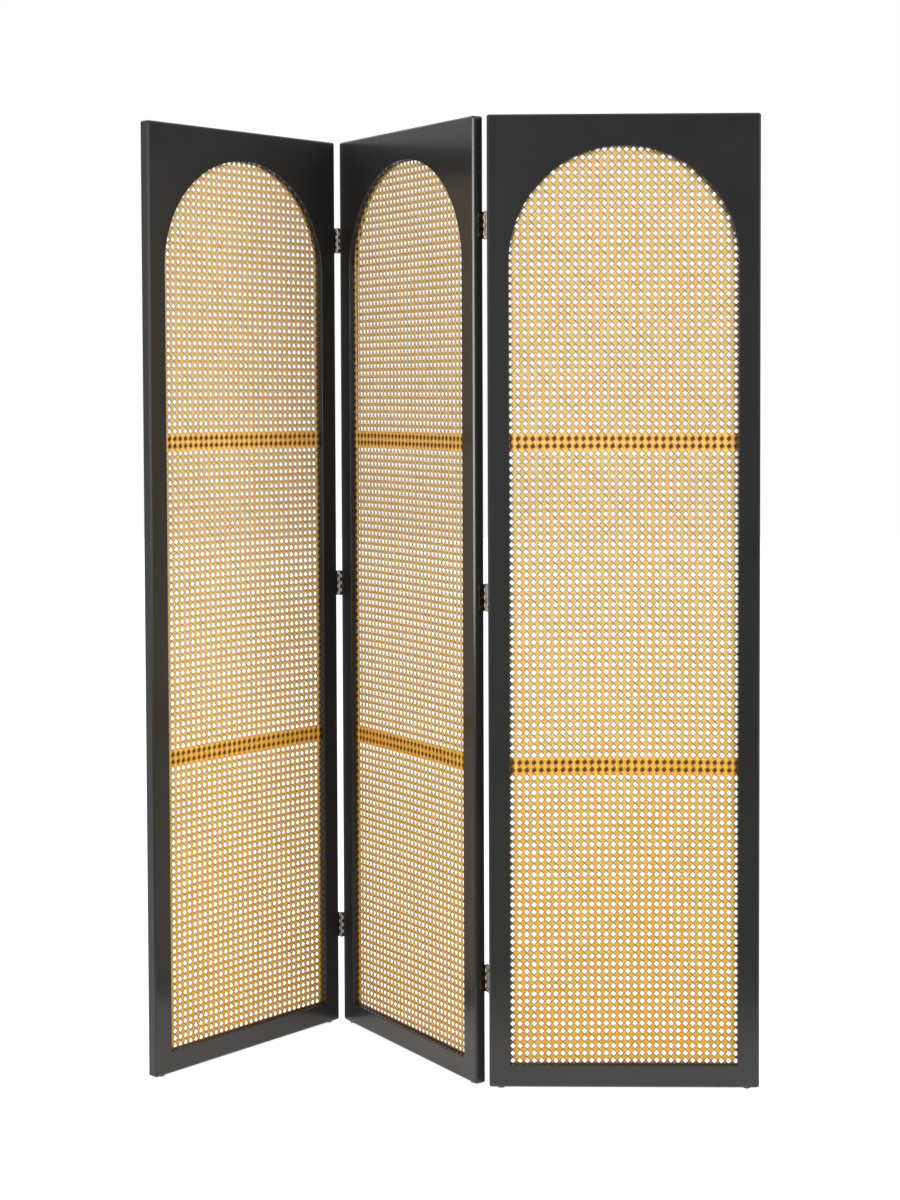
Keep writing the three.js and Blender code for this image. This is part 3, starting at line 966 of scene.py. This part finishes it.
def build_hinges():
    """Each joint's leaves, made for wood on the right of a front hinge line, and turned to fit."""
    leaves = {
        "fixed": leaf_mesh("leaf_four_knuckles", 0),
        "swing": leaf_mesh("leaf_three_knuckles", 1),
    }
    pin, screw = pin_mesh(), screw_mesh()
    half_turn = math.pi
    joint_layout = {
        "left": (left_line, {"fixed": Euler((0, 0, 0)), "swing": Euler((0, half_turn, 0))}),
        "right": (right_line, {"fixed": Euler((0, 0, half_turn)), "swing": Euler((half_turn, 0, 0))}),
    }
    face_out = Matrix.Rotation(-math.pi / 2, 4, "Y")
    for side, (line, turns) in joint_layout.items():
        for level in ("bottom", "middle", "top"):
            hinge = f"{side}_joint_{level}_hinge"
            low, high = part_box(f"{hinge}_pin")
            spot = Matrix.Translation(line + Vector((0, 0, (low.z + high.z) / 2)))
            add_piece(f"{hinge}_steel_pin", pin, spot, "middle_panel", f"{hinge}_pin")
            for leaf, mesh in leaves.items():
                panel = "middle" if leaf == "fixed" else side
                facing = PLACES[panel].to_quaternion().to_matrix().to_4x4()
                place = spot @ facing @ turns[leaf].to_matrix().to_4x4()
                body, node = f"{panel}_panel", f"{hinge}_{leaf}_leaf"
                piece = add_piece(f"{hinge}_{leaf}_plate", mesh, place, body, node)
                bevel_edges(piece, LEAF_BEVEL)
                flatten_normals(piece)
                for number, (across, height) in enumerate(SCREW_ROWS, 1):
                    seat = Matrix.Translation((KNUCKLE_RADIUS - LEAF_THICKNESS, across, height))
                    spin = Matrix.Rotation(random.uniform(0, math.pi), 4, "Z")
                    name = f"{hinge}_{leaf}_screw_{number}"
                    add_piece(name, screw, place @ seat @ face_out @ spin, body)


# ---------------------------------------------------------------- camera, floor and light

def add_camera():
    """A long lens at chest height, turned a little to the left and down, and shifted down."""
    azimuth, pitch, roll = (math.radians(angle) for angle in CAMERA_TURN)
    forward = Vector((
        math.sin(azimuth) * math.cos(pitch),
        math.cos(azimuth) * math.cos(pitch),
        math.sin(pitch),
    ))
    level = Vector((math.cos(azimuth), -math.sin(azimuth), 0))
    above = level.cross(forward)
    right = level * math.cos(roll) + above * math.sin(roll)
    up = above * math.cos(roll) - level * math.sin(roll)
    turned = Matrix((right, up, -forward)).transposed().to_4x4()
    data = bpy.data.cameras.new("camera")
    data.lens = CAMERA_LENS
    data.shift_y = CAMERA_SHIFT
    camera = bpy.data.objects.new("camera", data)
    camera.matrix_world = Matrix.Translation(CAMERA_PLACE) @ turned
    bpy.context.scene.collection.objects.link(camera)
    bpy.context.scene.camera = camera


def add_softbox(name, place, target, width, height, watts):
    """A rectangular lamp that faces its target."""
    data = bpy.data.lights.new(name, "AREA")
    data.shape = "RECTANGLE"
    data.size = width
    data.size_y = height
    data.energy = watts
    lamp = bpy.data.objects.new(name, data)
    lamp.location = place
    lamp.rotation_euler = (Vector(target) - Vector(place)).to_track_quat("-Z", "Y").to_euler()
    bpy.context.scene.collection.objects.link(lamp)


def add_floor():
    """Pale paper, white to the camera. The light it gives ends a step in front of the object."""
    material, tree, shader = new_material("pale_floor")
    shader.inputs["Roughness"].default_value = 0.9
    shader.inputs["Emission Color"].default_value = (1, 1, 1, 1)
    place = add_node(tree, "ShaderNodeTexCoord").outputs["Object"]
    depth = add_node(tree, "ShaderNodeSeparateXYZ", {0: place}).outputs["Y"]
    back = maths(tree, "ADD", maths(tree, "MULTIPLY", depth, 0.5), 1.0)    # 0 at y = -2 m, 1 at 0
    glow = ramp(tree, back, (0.5, 0.0), (0.8, FLOOR_GLOW))
    white = ramp(tree, back, (0.5, 1.0), (0.75, FLOOR_WHITE))
    seen = add_node(tree, "ShaderNodeLightPath").outputs["Is Camera Ray"]
    tree.links.new(mix(tree, seen, glow, white), shader.inputs["Emission Strength"])
    paper = ramp(tree, back, (0.5, 0.12), (0.75, 0.6))
    tree.links.new(paper, shader.inputs["Base Color"])
    mesh = bpy.data.meshes.new("floor")
    signs = ((-1, -1), (1, -1), (1, 1), (-1, 1))
    corners = [(x * FLOOR_HALF, y * FLOOR_HALF, 0) for x, y in signs]
    mesh.from_pydata(corners, [], [(0, 1, 2, 3)])
    mesh.materials.append(material)
    floor = bpy.data.objects.new("floor", mesh)
    bpy.context.scene.collection.objects.link(floor)


def add_world():
    """White to the camera. To everything else the room is bright behind the object and above it,
    and dim on the camera's side."""
    world = bpy.data.worlds.new("studio")
    world.use_nodes = True
    tree = world.node_tree
    way = add_node(tree, "ShaderNodeTexCoord").outputs["Generated"]
    facing = add_node(tree, "ShaderNodeVectorMath", {0: way, 1: WINDOW_SIDE}, operation="DOT_PRODUCT")
    depth = maths(tree, "ADD", maths(tree, "MULTIPLY", facing.outputs["Value"], 0.5), 0.5)
    level = ramp(tree, depth, (0.2, ROOM_FRONT), (0.9, ROOM_BACK))
    height = add_node(tree, "ShaderNodeSeparateXYZ", {0: way}).outputs["Z"]
    above = ramp(tree, height, (0.15, 0.0), (0.8, 1.0))
    room = mix(tree, above, level, (ROOM_TOP,) * 3)
    seen = add_node(tree, "ShaderNodeLightPath").outputs["Is Camera Ray"]
    colour = mix(tree, seen, room, (1.0, 1.0, 1.0))
    tree.links.new(colour, tree.nodes["Background"].inputs["Color"])
    bpy.context.scene.world = world


add_camera()
build_panels()
build_hinges()
add_floor()
add_world()
add_softbox("left_softbox", (-1.12, -3.45, 1.4), (0, 0, 1.2), width=0.95, height=1.8, watts=66)
add_softbox("right_softbox", (3.3, -2.6, 2.3), (0, 0, 1.0), width=2.2, height=2.2, watts=98)
bpy.context.scene.view_settings.view_transform = "Standard"
